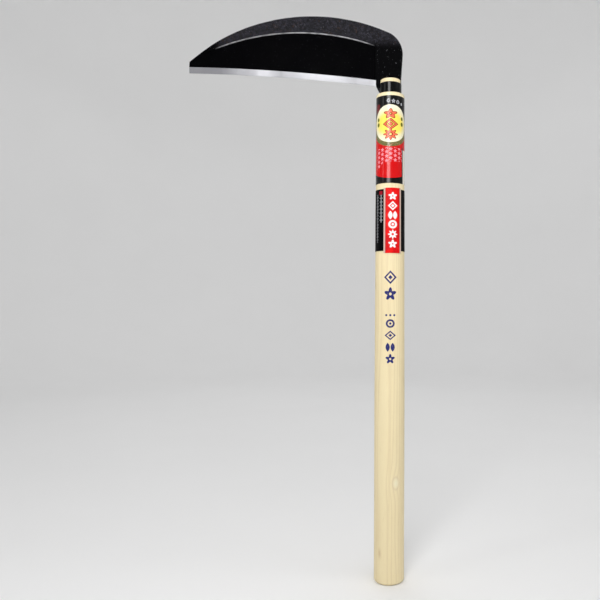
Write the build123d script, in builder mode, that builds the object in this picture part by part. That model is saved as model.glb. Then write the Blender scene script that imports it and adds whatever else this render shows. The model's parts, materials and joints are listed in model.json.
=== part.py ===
from build123d import *
from math import atan2, cos, degrees, radians, sin, sqrt
import os

os.makedirs("parts", exist_ok=True)

# A long-handled hand sickle with one curved blade set square to its handle.
# Millimetres. The origin is the centre of the butt end and +Z runs up the handle.
# The blade points along -X, its ground face looks along -Y and its flat face along +Y.

# ---------------------------------------------------------------- handle
SHOULDER_HEIGHT = 502.5  # butt end to the shoulder that the ferrule sits on
GRIP_DIAMETER = 31.5
GRIP_STRAIGHT = 180.0  # cylindrical stretch above the butt end
SHOULDER_DIAMETER = 28.9  # the grip tapers to this at the shoulder
BUTT_ROUND = 2.8
SHOULDER_CHAMFER = 0.8
TENON_DIAMETER = 21.0
TENON_PROUD = 4.2  # wood that stands above the ferrule
TENON_CHAMFER = 0.9

# ---------------------------------------------------------------- ferrule
FERRULE_HEIGHT = 11.5
FERRULE_WALL = 1.0
FERRULE_LIP = 0.3  # small chamfer on the ring's rims

# ---------------------------------------------------------------- blade, side view
EDGE_LENGTH = 195.0  # straight line from heel to tip
EDGE_TILT = 3.85  # degrees that the edge rises towards the tip
EDGE_HOLLOW = 2.4  # how far the edge bows up from that straight line
HEEL_REACH = 15.0  # heel to the handle's axis
HEEL_RISE = 10.3  # heel above the shoulder
TIP_HEIGHT = 11.8  # blunt end
TIP_LEAN = 0.9  # its top stands this much nearer the handle
SPINE_RADIUS = 197.0
SPINE_END_RISE = 64.7  # end of the spine's arc above the shoulder
RIB_WIDTH = 15.6  # thick band along the spine, halfway along
RIB_WIDTH_AT_NECK = 19.6
NECK_RIGHT = 12.9  # back of the neck to the handle's axis, at its widest
NECK_RIGHT_RISE = 43.0  # that widest point above the shoulder
NECK_FOOT = 11.1  # the same, where the neck stands on the ferrule
CORNER_BULGE = 3.3  # how far the corner between spine and neck bows out
CHIN_REACH = 11.9  # foot of the chin to the handle's axis
CHIN_RISE = 4.2  # foot of the chin above the shoulder

# ---------------------------------------------------------------- blade, thickness
RIB_THICKNESS = 3.6
WEB_THICKNESS = 2.2
BEVEL_WIDTH = 5.8
EDGE_LAND = 0.2  # what the whetstone leaves at the very edge
BACKING_WIDTH = 20.0  # hard steel that runs up the flat side
BACKING_THICKNESS = 0.8
SPINE_CHAMFER = 0.5

# ---------------------------------------------------------------- tang and nail
TANG_WIDTH = 14.0
TANG_DEPTH = 72.0  # shoulder to the tang's end
TANG_ROUND = 4.0
NAIL_DIAMETER = 3.6
NAIL_BELOW_SHOULDER = 46.0
NAIL_SINK = 0.5  # each end stops this far inside the wood
NAIL_LIP = 0.3

# ---------------------------------------------------------------- labels
UPPER_LABEL_DROP = 1.2  # shoulder to the label's top edge
UPPER_LABEL_LENGTH = 92.0
LABEL_GAP = 6.0  # bare wood between the two labels
LOWER_LABEL_LENGTH = 63.0
STRIP_OVERHANG = 2.2  # the strip's lower end past the lower label's
STRIP_OVERHANG_TOP = 1.2
STRIP_START = -25.0  # degrees round from the front towards the back of the neck
STRIP_END = 46.0
LABEL_THICKNESS = 0.2
LABEL_SEAM = 14.0  # degrees left open at the back where a label's ends meet

# ---------------------------------------------------------------- clearances
SLOT_CLEARANCE = 0.15  # tang and neck to the wood
NOTCH_CLEARANCE = 0.2  # chin to the ferrule
FERRULE_CLEARANCE = 0.05  # ring to the tenon
NAIL_CLEARANCE = 0.05  # nail to the wood
TANG_HOLE_CLEARANCE = 0.2  # nail to the tang
MORTISE_SPARE = 2.0  # below the tang's end
LABEL_CLEARANCE = 0.05  # glue under a label

# ---------------------------------------------------------------- cutting tools
CUT_SPARE = 1.0  # how far a cut runs past what it cuts
EDGE_MARGIN = 8.0  # the same, below the edge
EDGE_SPARE = 0.5  # degrees that the bevel's cut runs past heel and tip
ARC_MATCH = 0.01  # how closely an edge's radius has to match to be found by it

# ---------------------------------------------------------------- worked out
shoulder_radius = SHOULDER_DIAMETER / 2
grip_radius = GRIP_DIAMETER / 2
tenon_radius = TENON_DIAMETER / 2
ferrule_top = SHOULDER_HEIGHT + FERRULE_HEIGHT
tenon_top = ferrule_top + TENON_PROUD
ferrule_bore = tenon_radius + FERRULE_CLEARANCE
ferrule_radius = ferrule_bore + FERRULE_WALL
back_face = RIB_THICKNESS / 2
web_face = back_face - WEB_THICKNESS
slot_width = RIB_THICKNESS + 2 * SLOT_CLEARANCE
tang_half = TANG_WIDTH / 2
tang_end = SHOULDER_HEIGHT - TANG_DEPTH
nail_height = SHOULDER_HEIGHT - NAIL_BELOW_SHOULDER
mortise_half = tang_half + SLOT_CLEARANCE
slot_reach = ferrule_radius + CUT_SPARE

heel = Vector(-HEEL_REACH, SHOULDER_HEIGHT + HEEL_RISE)
tip = heel + Vector(-EDGE_LENGTH * cos(radians(EDGE_TILT)), EDGE_LENGTH * sin(radians(EDGE_TILT)))
tip_top = tip + Vector(TIP_LEAN, TIP_HEIGHT)
spine_end = Vector(0, SHOULDER_HEIGHT + SPINE_END_RISE)
neck_wide = Vector(NECK_RIGHT, SHOULDER_HEIGHT + NECK_RIGHT_RISE)
chin = Vector(-CHIN_REACH, SHOULDER_HEIGHT + CHIN_RISE)
flat_side = Plane.XZ.offset(-back_face)  # extrusions from it grow towards the ground side


def grip_radius_at(height):
    """Radius of the wood at a height: cylindrical first, then an even taper to the shoulder."""
    along = max(0.0, (height - GRIP_STRAIGHT) / (SHOULDER_HEIGHT - GRIP_STRAIGHT))
    return grip_radius + (shoulder_radius - grip_radius) * along


def above(start, end):
    """Unit vector square to the line from start to end, which run left to right, pointing up."""
    line = end - start
    return Vector(-line.Y, line.X).normalized()


def arc_centre(start, end, radius):
    """Centre of the arc of this radius that bows up between two points given left to right."""
    half = (end - start).length / 2
    return (start + end) * 0.5 - above(start, end) * sqrt(radius**2 - half**2)


spine_centre = arc_centre(tip_top, spine_end, SPINE_RADIUS)
edge_radius = (EDGE_LENGTH**2 / 4 + EDGE_HOLLOW**2) / (2 * EDGE_HOLLOW)
edge_centre = arc_centre(tip, heel, edge_radius)
edge_turn = degrees(2 * atan2(EDGE_LENGTH / 2, edge_radius - EDGE_HOLLOW))


def spine_point(across, depth=0.0):
    """Point on the spine's arc at this X, moved down by depth."""
    rise = sqrt(SPINE_RADIUS**2 - (across - spine_centre.X) ** 2)
    return Vector(across, spine_centre.Y + rise - depth)


def on_the_spine(edge):
    """True for an edge that runs along the spine's arc."""
    return edge.geom_type == GeomType.CIRCLE and abs(edge.radius - SPINE_RADIUS) < ARC_MATCH


blade_middle = (tip_top.X - HEEL_REACH) / 2
neck_top = spine_point(-HEEL_REACH)
rib_at_neck = spine_point(-HEEL_REACH, RIB_WIDTH_AT_NECK)
corner_middle = (spine_end + neck_wide) * 0.5 + above(spine_end, neck_wide) * CORNER_BULGE

# The edge is an arc about an axis along Y, so the bevel is turned about that axis.
# Its profile lies in a plane through the axis just past the heel, and takes radius and Y.
past_heel = (heel - edge_centre).rotate(Axis.Z, -EDGE_SPARE).normalized()
edge_origin = (edge_centre.X, 0, edge_centre.Y)
edge_outward = (past_heel.X, 0, past_heel.Y)
edge_plane = Plane(origin=edge_origin, x_dir=edge_outward, z_dir=(-past_heel.Y, 0, past_heel.X))
edge_axis = Axis(edge_origin, (0, -1, 0))
edge_sweep = edge_turn + 2 * EDGE_SPARE
bevel_top = edge_radius + BEVEL_WIDTH
backing_top = edge_radius + BACKING_WIDTH
backing_face = back_face - BACKING_THICKNESS

# ---------------------------------------------------------------- blade plan
# Side view of the web, from the neck to the blunt tip. It runs a little past the edge.
with BuildSketch(flat_side) as web_plan:
    with BuildLine():
        Polyline(neck_top, heel - Vector(0, CUT_SPARE), tip - Vector(0, CUT_SPARE), tip, tip_top)
        ThreePointArc(tip_top, spine_point(blade_middle), neck_top)
    make_face()

# Side view of the rib, a crescent that narrows to nothing at the tip.
with BuildSketch(flat_side) as rib_plan:
    with BuildLine():
        ThreePointArc(tip_top, spine_point(blade_middle, RIB_WIDTH), rib_at_neck)
        Line(rib_at_neck, neck_top)
        ThreePointArc(neck_top, spine_point(blade_middle), tip_top)
    make_face()

# Side view of the neck, with the chin at its foot, and of the tang below it.
with BuildSketch(flat_side) as neck_plan:
    with BuildLine():
        Polyline(neck_top, heel, chin, (-tang_half, chin.Y), (-tang_half, tang_end))
        Polyline((-tang_half, tang_end), (tang_half, tang_end), (tang_half, ferrule_top))
        Polyline((tang_half, ferrule_top), (NECK_FOOT, ferrule_top), neck_wide)
        ThreePointArc(neck_wide, corner_middle, spine_end)
        ThreePointArc(spine_end, spine_point(-HEEL_REACH / 2), neck_top)
    make_face()
    fillet(neck_plan.vertices().group_by(Axis.Y)[0], TANG_ROUND)

# ---------------------------------------------------------------- blade body
# Soft iron, forged in one piece: a thick rib along the spine, a thinner web below it,
# a neck as thick as the rib, and the tang that goes down into the handle.
with BuildPart() as blade_body:
    extrude(web_plan.sketch, amount=WEB_THICKNESS)
    extrude(rib_plan.sketch, amount=RIB_THICKNESS)
    with BuildSketch(edge_plane):
        with BuildLine():
            Polyline(
                (edge_radius - EDGE_MARGIN, back_face + CUT_SPARE),
                (backing_top, back_face + CUT_SPARE),
                (backing_top, backing_face),
                (bevel_top, backing_face),
                (bevel_top, web_face - CUT_SPARE),
                (edge_radius - EDGE_MARGIN, web_face - CUT_SPARE),
                close=True,
            )
        make_face()
    revolve(axis=edge_axis, revolution_arc=edge_sweep, mode=Mode.SUBTRACT)
    extrude(neck_plan.sketch, amount=RIB_THICKNESS)
    with BuildSketch(Plane.XZ):
        with Locations((0, nail_height)):
            Circle(NAIL_DIAMETER / 2 + TANG_HOLE_CLEARANCE)
    extrude(amount=RIB_THICKNESS, both=True, mode=Mode.SUBTRACT)
    chamfer(blade_body.edges().filter_by(on_the_spine), SPINE_CHAMFER)
blade_body.part.label = "blade_body"
export_step(blade_body.part, "parts/blade_body.step")

# ---------------------------------------------------------------- hard edge
# Hard steel welded along the edge, ground to a single bevel, with a thin tongue up the flat side.
with BuildPart() as edge_steel:
    extrude(web_plan.sketch, amount=WEB_THICKNESS)
    with BuildSketch(edge_plane):
        with BuildLine():
            Polyline(
                (edge_radius, back_face),
                (backing_top, back_face),
                (backing_top, backing_face),
                (bevel_top, backing_face),
                (bevel_top, web_face),
                (edge_radius, back_face - EDGE_LAND),
                close=True,
            )
        make_face()
    revolve(axis=edge_axis, revolution_arc=edge_sweep, mode=Mode.INTERSECT)
edge_steel.part.label = "edge_steel"
export_step(edge_steel.part, "parts/edge_steel.step")

# ---------------------------------------------------------------- handle
# One turned piece of pale wood. Its upper end is a slim tenon, sawn open for the neck,
# and below the ferrule a closed mortise takes the tang.
with BuildPart() as handle:
    with BuildSketch(Plane.XZ) as handle_half:
        with BuildLine():
            Polyline(
                (0, 0),
                (grip_radius, 0),
                (grip_radius, GRIP_STRAIGHT),
                (shoulder_radius, SHOULDER_HEIGHT),
                (tenon_radius, SHOULDER_HEIGHT),
                (tenon_radius, tenon_top),
                (0, tenon_top),
                close=True,
            )
        make_face()
        butt_corner = handle_half.vertices().group_by(Axis.Y)[0].sort_by(Axis.X)[-1]
        fillet(butt_corner, BUTT_ROUND)
        shoulder_corner = handle_half.vertices().sort_by_distance((shoulder_radius, SHOULDER_HEIGHT))[0]
        chamfer(shoulder_corner, SHOULDER_CHAMFER)
        tenon_corner = handle_half.vertices().group_by(Axis.Y)[-1].sort_by(Axis.X)[-1]
        chamfer(tenon_corner, TENON_CHAMFER)
    revolve(axis=Axis.Z)
    with BuildSketch(Plane.XZ):
        with BuildLine():
            Polyline(
                (-slot_reach, tenon_top + CUT_SPARE),
                (-slot_reach, chin.Y - SLOT_CLEARANCE),
                (-mortise_half, chin.Y - SLOT_CLEARANCE),
                (-mortise_half, tang_end - MORTISE_SPARE),
                (mortise_half, tang_end - MORTISE_SPARE),
                (mortise_half, ferrule_top),
                (slot_reach, ferrule_top),
                (slot_reach, tenon_top + CUT_SPARE),
                close=True,
            )
        make_face()
    extrude(amount=slot_width / 2, both=True, mode=Mode.SUBTRACT)
    with BuildSketch(Plane.XZ):
        with Locations((0, nail_height)):
            Circle(NAIL_DIAMETER / 2 + NAIL_CLEARANCE)
    extrude(amount=grip_radius, both=True, mode=Mode.SUBTRACT)
handle.part.label = "handle"
export_step(handle.part, "parts/handle.step")

# ---------------------------------------------------------------- ferrule
# Steel ring that keeps the tenon from splitting, notched on the blade side for the chin.
with BuildPart() as ferrule:
    with BuildSketch(Plane.XY.offset(SHOULDER_HEIGHT)):
        Circle(ferrule_radius)
        Circle(ferrule_bore, mode=Mode.SUBTRACT)
    extrude(amount=FERRULE_HEIGHT)
    outer_rims = ferrule.edges().filter_by(GeomType.CIRCLE).group_by(SortBy.RADIUS)[-1]
    chamfer(outer_rims, FERRULE_LIP)
    with BuildSketch(Plane.XZ):
        with BuildLine():
            Polyline(
                (-slot_reach, ferrule_top + CUT_SPARE),
                (-slot_reach, chin.Y - NOTCH_CLEARANCE),
                (-mortise_half, chin.Y - NOTCH_CLEARANCE),
                (-mortise_half, ferrule_top + CUT_SPARE),
                close=True,
            )
        make_face()
    extrude(amount=RIB_THICKNESS / 2 + NOTCH_CLEARANCE, both=True, mode=Mode.SUBTRACT)
ferrule.part.label = "ferrule"
export_step(ferrule.part, "parts/ferrule.step")

# ---------------------------------------------------------------- nail
# Round iron nail through the handle and the tang, hidden under the upper label.
with BuildPart() as tang_nail:
    with BuildSketch(Plane.XZ):
        with Locations((0, nail_height)):
            Circle(NAIL_DIAMETER / 2)
    extrude(amount=grip_radius_at(nail_height) - NAIL_SINK, both=True)
    chamfer(tang_nail.edges().filter_by(GeomType.CIRCLE), NAIL_LIP)
tang_nail.part.label = "tang_nail"
export_step(tang_nail.part, "parts/tang_nail.step")


# ---------------------------------------------------------------- labels
def skin_profile(low, high, lift, start):
    """Section of a skin round the handle, in the upright plane where the skin begins.

    It runs from height low to high, lift above the wood. The plane is start degrees round from
    the front, counted towards +X.
    """
    front = radians(start)
    radial = Plane(origin=(0, 0, 0), x_dir=(sin(front), -cos(front), 0), z_dir=(-cos(front), -sin(front), 0))
    foot = grip_radius_at(low) + lift
    head = grip_radius_at(high) + lift
    with BuildSketch(radial) as skin:
        with BuildLine():
            Polyline(
                (foot, low),
                (foot + LABEL_THICKNESS, low),
                (head + LABEL_THICKNESS, high),
                (head, high),
                close=True,
            )
        make_face()
    return skin.sketch


wrap_start = 180 + LABEL_SEAM / 2
wrap_turn = 360 - LABEL_SEAM
upper_top = SHOULDER_HEIGHT - UPPER_LABEL_DROP
upper_low = upper_top - UPPER_LABEL_LENGTH
lower_top = upper_low - LABEL_GAP
lower_low = lower_top - LOWER_LABEL_LENGTH

# Glossy printed film round the top of the grip.
with BuildPart() as upper_label:
    film_profile = skin_profile(upper_low, upper_top, LABEL_CLEARANCE, wrap_start)
    revolve(film_profile, axis=Axis.Z, revolution_arc=wrap_turn)
upper_label.part.label = "upper_label"
export_step(upper_label.part, "parts/upper_label.step")

# Matt black paper round the grip below it.
with BuildPart() as lower_label:
    paper_profile = skin_profile(lower_low, lower_top, LABEL_CLEARANCE, wrap_start)
    revolve(paper_profile, axis=Axis.Z, revolution_arc=wrap_turn)
lower_label.part.label = "lower_label"
export_step(lower_label.part, "parts/lower_label.step")

# Upright strip stuck over the black paper, a little longer than it.
strip_low = lower_low - STRIP_OVERHANG
strip_top = lower_top + STRIP_OVERHANG_TOP
strip_lift = LABEL_CLEARANCE + LABEL_THICKNESS + LABEL_CLEARANCE
strip_turn = STRIP_END - STRIP_START
with BuildPart() as label_strip:
    strip_profile = skin_profile(strip_low, strip_top, strip_lift, STRIP_START)
    revolve(strip_profile, axis=Axis.Z, revolution_arc=strip_turn)
label_strip.part.label = "label_strip"
export_step(label_strip.part, "parts/label_strip.step")
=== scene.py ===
"""A long-handled hand sickle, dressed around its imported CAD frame.

The CAD frame is in metres: the origin is the centre of the butt end, +Z runs up the handle, the
blade points along -X and its ground face looks along -Y. The classes below hold their sizes in
millimetres, and Skin turns them into metres when it makes a mesh.
"""

import json
import logging
import math
from dataclasses import dataclass
from enum import Enum
from typing import Dict, List, Optional, Sequence, Tuple, Union

import bmesh
import bpy
import numpy as np
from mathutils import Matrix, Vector

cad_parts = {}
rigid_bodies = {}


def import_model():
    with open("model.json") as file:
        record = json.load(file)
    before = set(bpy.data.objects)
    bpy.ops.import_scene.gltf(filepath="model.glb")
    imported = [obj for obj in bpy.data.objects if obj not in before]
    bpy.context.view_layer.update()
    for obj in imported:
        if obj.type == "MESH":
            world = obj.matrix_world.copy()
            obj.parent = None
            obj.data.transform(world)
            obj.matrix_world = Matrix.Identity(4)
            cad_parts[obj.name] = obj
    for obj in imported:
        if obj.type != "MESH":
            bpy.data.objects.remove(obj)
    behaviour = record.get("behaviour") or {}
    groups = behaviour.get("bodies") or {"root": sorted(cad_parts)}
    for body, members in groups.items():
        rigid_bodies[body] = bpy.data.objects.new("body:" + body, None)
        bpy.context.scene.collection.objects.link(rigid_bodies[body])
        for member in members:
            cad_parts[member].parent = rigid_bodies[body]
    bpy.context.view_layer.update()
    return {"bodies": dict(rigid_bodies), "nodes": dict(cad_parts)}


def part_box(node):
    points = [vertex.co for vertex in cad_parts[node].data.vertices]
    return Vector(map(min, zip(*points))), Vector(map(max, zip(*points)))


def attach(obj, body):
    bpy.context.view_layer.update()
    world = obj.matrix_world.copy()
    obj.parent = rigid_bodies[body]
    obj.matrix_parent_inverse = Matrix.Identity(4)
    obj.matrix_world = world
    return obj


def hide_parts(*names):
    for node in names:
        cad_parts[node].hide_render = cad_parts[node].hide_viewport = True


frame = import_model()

LOG = logging.getLogger("sickle")
BODY = next(iter(frame["bodies"]))
MM = 0.001
MERGE = 1e-7  # metres under which two points are one
SHARP = math.radians(32)  # edges that turn more than this stay crisp

FORGED = "forged"  # 1 where the iron is left rough from the hammer
WEAR_AND_GLINT = "worn"  # 1 where edges are rubbed bright; along the blade's step it also carries a painted highlight
SOOT = "soot"  # 1 where the scale is black from the fire
GROUND = "ground"  # 1 where the steel is ground

Colour = Tuple[float, float, float]
Number = Union["Wire", float]
Marks = Dict[str, np.ndarray]


def place_of(node: str) -> Tuple[Vector, Vector]:
    """Lowest and highest corner of a CAD node, in millimetres."""
    low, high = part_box(node)
    return low / MM, high / MM


# ------------------------------------------------------------------------------ surfaces
def smooth(value: np.ndarray, low: float, high: float) -> np.ndarray:
    """Smooth step: t squared times (3 - 2t), where t runs from 0 at low to 1 at high."""
    t = np.clip((value - low) / (high - low), 0.0, 1.0)
    return t * t * (3.0 - 2.0 * t)


def relief(first: np.ndarray, second: np.ndarray, size: float, seed: int) -> np.ndarray:
    """Smooth random height over two coordinates.

    Random values stand on a square lattice, and between them each is weighed by a smooth step
    along both coordinates.

    Args:
        first: one coordinate.
        second: the other, of the same shape.
        size: spacing of the lattice.
        seed: picks the random values.

    Returns:
        Heights from -1 to 1.
    """
    table = np.random.default_rng(seed).uniform(-1.0, 1.0, (97, 97))
    across, along = first / size, second / size
    i, j = np.floor(across).astype(int), np.floor(along).astype(int)
    u, v = smooth(across - i, 0.0, 1.0), smooth(along - j, 0.0, 1.0)
    corners = [[table[(i + di) % 97, (j + dj) % 97] for dj in (0, 1)] for di in (0, 1)]
    low = corners[0][0] * (1 - v) + corners[0][1] * v
    high = corners[1][0] * (1 - v) + corners[1][1] * v
    return low * (1 - u) + high * u


def along_line(points: Sequence[Sequence[float]], share: np.ndarray) -> np.ndarray:
    """Points of a polyline, by linear interpolation of its arc length.

    Args:
        points: corners of the polyline.
        share: shares of its length.

    Returns:
        A point for each share.
    """
    path = np.asarray(points, float)
    steps = np.concatenate([[0.0], np.cumsum(np.linalg.norm(np.diff(path, axis=0), axis=1))])
    wanted = share * steps[-1]
    return np.stack([np.interp(wanted, steps, path[:, k]) for k in range(path.shape[1])], axis=-1)


def lathe(radius: np.ndarray, height: np.ndarray, turn: np.ndarray) -> np.ndarray:
    """A profile turned about Z.

    The point at radius r, height z and angle a is (r sin a, -r cos a, z), so angle 0 is the front
    and the angle grows towards +X.

    Args:
        radius: radii, of any shape that fits with height and turn.
        height: heights.
        turn: angles in radians.

    Returns:
        Points, with one more axis than the inputs.
    """
    radius, height, turn = np.broadcast_arrays(radius, height, turn)
    return np.stack([radius * np.sin(turn), -radius * np.cos(turn), height], axis=-1)


class Skin:
    """Grids of points, in millimetres, gathered into one mesh object."""

    def __init__(self, name: str) -> None:
        """Starts an empty piece.

        Args:
            name: the piece's name.
        """
        self.name = name
        self.points: List[np.ndarray] = []
        self.faces: List[np.ndarray] = []
        self.marks: Dict[str, List[np.ndarray]] = {}
        self.count = 0

    def grid(self, points: np.ndarray, ring: bool = False, marks: Optional[Marks] = None) -> None:
        """Adds a grid of four-sided faces.

        Args:
            points: (rows, columns, 3) points.
            ring: joins the last column to the first.
            marks: numbers kept on the points, each of shape (rows, columns).
        """
        rows, columns = points.shape[:2]
        index = self.count + np.arange(rows * columns).reshape(rows, columns)
        if ring:
            index = np.concatenate([index, index[:, :1]], axis=1)
        quads = np.stack([index[:-1, :-1], index[:-1, 1:], index[1:, 1:], index[1:, :-1]], axis=-1)
        self.points.append(points.reshape(-1, 3))
        self.faces.append(quads.reshape(-1, 4))
        for key, value in (marks or {}).items():
            self.marks.setdefault(key, []).append(np.broadcast_to(value, (rows, columns)).ravel())
        self.count += rows * columns

    def tube(self, loops: np.ndarray, marks: Optional[Marks] = None) -> None:
        """Adds a row of closed loops, and closes both ends on the middle of their last loop.

        Args:
            loops: (loops, points, 3) points.
            marks: numbers kept on the points, each of shape (loops, points).
        """
        ends = [loops[k].mean(axis=0, keepdims=True).repeat(loops.shape[1], axis=0) for k in (0, -1)]
        closed = np.concatenate([ends[:1], loops, ends[1:]])
        padded = {
            key: np.concatenate([value[:1], value, value[-1:]])
            for key, value in (marks or {}).items()
        }
        self.grid(closed, ring=True, marks=padded)

    def shell(self, inner: np.ndarray, outer: np.ndarray) -> None:
        """Adds a thin open sheet with a wall: two grids, and the four rims between them.

        Args:
            inner: (rows, columns, 3) points of one side.
            outer: points of the other side, of the same shape.
        """
        self.grid(inner)
        self.grid(outer)
        for pick in (np.s_[0], np.s_[-1], np.s_[:, 0], np.s_[:, -1]):
            self.grid(np.stack([inner[pick], outer[pick]]))

    def build(self, material: bpy.types.Material, slot: str, *nodes: str) -> bpy.types.Object:
        """Makes the object, turns its faces outwards and puts it on the body.

        Args:
            material: its finish.
            slot: the record's material slot; it is not used.
            nodes: the CAD nodes that it stands for, at least one.

        Returns:
            The finished piece.
        """
        mesh = bpy.data.meshes.new(self.name)
        points = np.concatenate(self.points) * MM
        mesh.from_pydata(points, [], np.concatenate(self.faces).tolist())
        for key, values in self.marks.items():
            layer = mesh.attributes.new(key, "FLOAT", "POINT")
            layer.data.foreach_set("value", np.concatenate(values).astype(np.float32))
        work = bmesh.new()
        work.from_mesh(mesh)
        bmesh.ops.remove_doubles(work, verts=work.verts, dist=MERGE)
        bmesh.ops.dissolve_degenerate(work, edges=work.edges, dist=MERGE)
        bmesh.ops.recalc_face_normals(work, faces=work.faces)
        work.to_mesh(mesh)
        work.free()
        mesh.shade_smooth()
        mesh.set_sharp_from_angle(angle=SHARP)
        mesh.materials.append(material)
        piece = bpy.data.objects.new(self.name, mesh)
        bpy.context.scene.collection.objects.link(piece)
        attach(piece, BODY)
        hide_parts(*nodes)
        LOG.info("%s: %d faces, stands for %s", self.name, len(mesh.polygons), ", ".join(nodes))
        return piece


# ------------------------------------------------------------------------------ shader maths
class Wire:
    """A shader socket that takes part in Python arithmetic. Each operator adds one Math node."""

    def __init__(self, shade: "Shade", socket: bpy.types.NodeSocket) -> None:
        """Wraps a socket of this material."""
        self.shade = shade
        self.socket = socket

    def math(self, operation: str, first: Number, second: Number = 0.0) -> "Wire":
        """Adds a Math node on two numbers or wires."""
        return self.shade.node("ShaderNodeMath", {"operation": operation}, {0: first, 1: second})

    def __add__(self, other: Number) -> "Wire":
        """self + other."""
        return self.math("ADD", self, other)

    def __sub__(self, other: Number) -> "Wire":
        """self - other."""
        return self.math("SUBTRACT", self, other)

    def __rsub__(self, other: Number) -> "Wire":
        """other - self."""
        return self.math("SUBTRACT", other, self)

    def __mul__(self, other: Number) -> "Wire":
        """self * other."""
        return self.math("MULTIPLY", self, other)

    def __truediv__(self, other: Number) -> "Wire":
        """self / other."""
        return self.math("DIVIDE", self, other)

    def __mod__(self, other: Number) -> "Wire":
        """self modulo other, never negative."""
        return self.math("FLOORED_MODULO", self, other)

    def __abs__(self) -> "Wire":
        """Size without sign."""
        return self.math("ABSOLUTE", self, 0.0)

    def __or__(self, other: Number) -> "Wire":
        """The larger of the two, which joins masks and crosses distances."""
        return self.math("MAXIMUM", self, other)

    def __and__(self, other: Number) -> "Wire":
        """The smaller of the two, which crosses masks and joins distances."""
        return self.math("MINIMUM", self, other)

    __radd__ = __add__
    __rmul__ = __mul__
    __ror__ = __or__
    __rand__ = __and__


class Shade:
    """One node material in the making. Its lengths are in millimetres."""

    def __init__(self, name: str) -> None:
        """Starts a material with no nodes.

        Args:
            name: the material's name.
        """
        self.material = bpy.data.materials.new(name)
        self.material.use_nodes = True
        self.tree = self.material.node_tree
        self.tree.nodes.clear()

    def add(
        self,
        kind: str,
        settings: Optional[Dict[str, object]] = None,
        inputs: Optional[Dict[Union[str, int], object]] = None,
    ) -> bpy.types.Node:
        """Adds any node.

        Args:
            kind: the node's type name.
            settings: attributes set first; "stops" fills a colour ramp with (place, colour).
            inputs: sockets by name or number, each given a value or a Wire.

        Returns:
            The node.
        """
        made = self.tree.nodes.new(kind)
        for key, value in (settings or {}).items():
            if key == "stops":
                self.fill_ramp(made.color_ramp, value)
            else:
                setattr(made, key, value)
        for key, value in (inputs or {}).items():
            socket = made.inputs[key]
            if isinstance(value, Wire):
                self.tree.links.new(value.socket, socket)
            elif socket.type == "RGBA" and len(value) == 3:
                socket.default_value = (*value, 1.0)
            else:
                socket.default_value = value
        return made

    def node(
        self,
        kind: str,
        settings: Optional[Dict[str, object]] = None,
        inputs: Optional[Dict[Union[str, int], object]] = None,
        output: Union[str, int] = 0,
    ) -> Wire:
        """Adds any node as add does, and returns the output of this name or number."""
        return Wire(self, self.add(kind, settings, inputs).outputs[output])

    @staticmethod
    def fill_ramp(ramp: bpy.types.ColorRamp, stops: Sequence[Tuple[float, Colour]]) -> None:
        """Gives a ramp its stops.

        Args:
            ramp: a new ramp, with two stops.
            stops: (place, colour) pairs.
        """
        while len(ramp.elements) < len(stops):
            ramp.elements.new(1.0)
        for element, (place, colour) in zip(ramp.elements, stops):
            element.position = place
            element.color = (*colour, 1.0)

    def place(self) -> Wire:
        """Object coordinates, in millimetres."""
        return self.stretch(self.node("ShaderNodeTexCoord", output="Object"), (1 / MM, 1 / MM, 1 / MM))

    def stretch(self, vector: Wire, scale: Sequence[float]) -> Wire:
        """The vector with each part multiplied."""
        return self.node("ShaderNodeVectorMath", {"operation": "MULTIPLY"}, {0: vector, 1: tuple(scale)})

    def split(self, vector: Wire) -> Tuple[Wire, Wire, Wire]:
        """The three parts of a vector."""
        made = self.add("ShaderNodeSeparateXYZ", None, {0: vector})
        return tuple(Wire(self, socket) for socket in made.outputs)

    def unrolled(self, radius: float) -> Tuple[Wire, Wire]:
        """Place on the handle unrolled flat: distance round from the front, and height.

        The distance is the angle of (x, -y) times the radius, and grows towards +X.
        """
        x, y, z = self.split(self.place())
        return x.math("ARCTAN2", x, 0.0 - y) * radius, z

    def mark(self, name: str) -> Wire:
        """A number kept on the mesh."""
        return self.node("ShaderNodeAttribute", {"attribute_name": name}, output="Fac")

    def noise(self, vector: Wire, scale: float, detail: float = 3.0, rough: float = 0.55) -> Wire:
        """Fractal noise from 0 to 1."""
        knobs = {"Vector": vector, "Scale": scale, "Detail": detail, "Roughness": rough}
        return self.node("ShaderNodeTexNoise", None, knobs)

    def ease(self, value: Number, low: float, high: float, first: float = 0.0, last: float = 1.0) -> Wire:
        """Smooth step from first, at or below low, to last, at or above high."""
        knobs = {"Value": value, "From Min": low, "From Max": high, "To Min": first, "To Max": last}
        return self.node("ShaderNodeMapRange", {"interpolation_type": "SMOOTHSTEP"}, knobs)

    def inside(self, distance: Wire, soft: float = 0.12) -> Wire:
        """Mask that is 1 where a signed distance is negative."""
        return self.ease(distance, -soft, soft, 1.0, 0.0)

    def mix(self, mask: Number, below: object, above: object) -> Wire:
        """Colour that is below where the mask is 0 and above where it is 1."""
        return self.node("ShaderNodeMix", {"data_type": "RGBA"}, {0: mask, 6: below, 7: above}, output=2)

    def blend(self, mask: Wire, below: Wire, above: Wire) -> Wire:
        """Shader that is below where the mask is 0 and above where it is 1."""
        return self.node("ShaderNodeMixShader", None, {0: mask, 1: below, 2: above})

    def ramp(self, value: Wire, stops: Sequence[Tuple[float, Colour]]) -> Wire:
        """Colours by value."""
        return self.node("ShaderNodeValToRGB", {"stops": stops}, {0: value})

    def bump(self, height: Wire, depth: float, under: Optional[Wire] = None) -> Wire:
        """Normal from a relief.

        Args:
            height: relief from 0 to 1.
            depth: millimetres that the relief stands for.
            under: normal that it is laid on, if any.

        Returns:
            The normal.
        """
        knobs: Dict[Union[str, int], object] = {
            "Height": height,
            "Distance": depth * MM,
            "Strength": 1.0,
        }
        if under is not None:
            knobs["Normal"] = under
        return self.node("ShaderNodeBump", None, knobs, output="Normal")

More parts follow.
